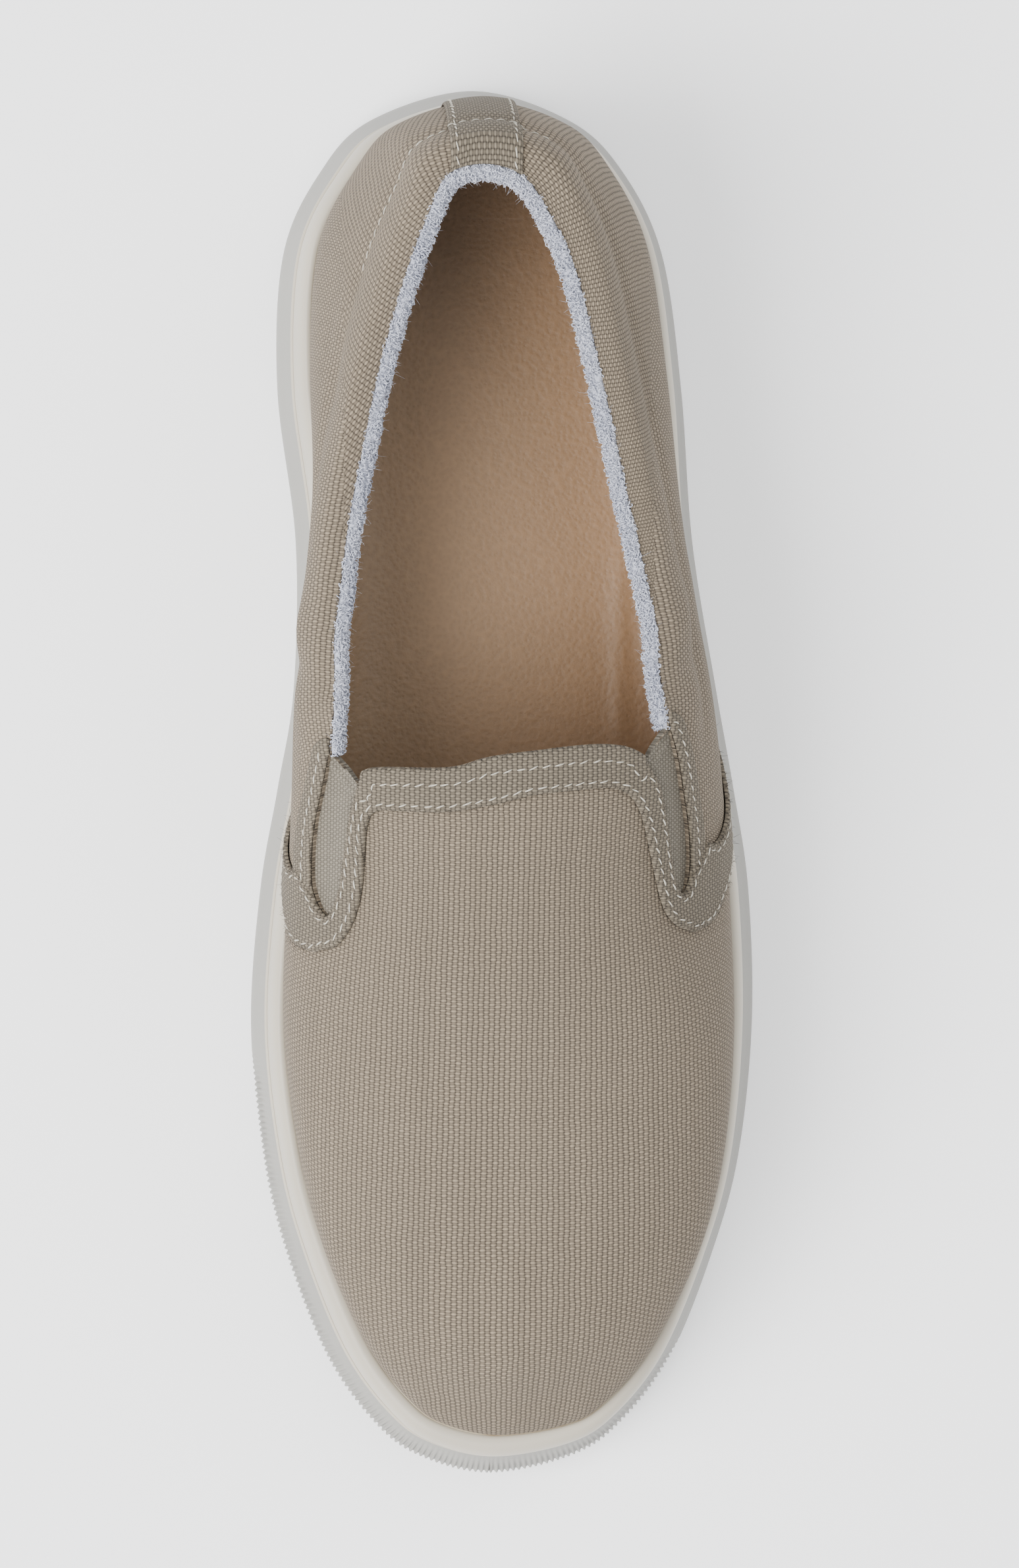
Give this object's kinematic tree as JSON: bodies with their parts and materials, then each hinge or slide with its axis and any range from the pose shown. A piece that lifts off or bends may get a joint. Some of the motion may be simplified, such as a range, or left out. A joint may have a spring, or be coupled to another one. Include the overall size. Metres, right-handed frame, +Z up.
{
  "type": "slip-on sneaker",
  "caption": "Low canvas slip-on sneaker for the left foot, with elastic gores, a padded collar, a trimmed throat, a leather insole and a rubber cup sole.",
  "frame": {"origin": "on the floor, under the middle of the shoe's box", "axes": "+Y from toe to heel, +X from the medial to the lateral side, +Z up"},
  "size_m": [0.1008, 0.276, 0.0869],
  "materials": {
    "canvas": "coarse plain weave, matte",
    "trim_canvas": "canvas tape, matte",
    "elastic": "ribbed elastic, matte",
    "rim_rubber": "warm off-white, matte",
    "sole_rubber": "pale grey, matte",
    "insole_leather": "fine grain, soft sheen",
    "terry": "looped towelling, matte",
    "thread": "cream thread"
  },
  "bodies": {
    "root": {"outsole": "sole_rubber", "midsole": "rim_rubber", "insole": "insole_leather", "upper": "canvas", "gore_medial": "elastic", "gore_lateral": "elastic", "vamp_trim": "trim_canvas", "heel_strip": "trim_canvas"}
  },
  "joints": []
}
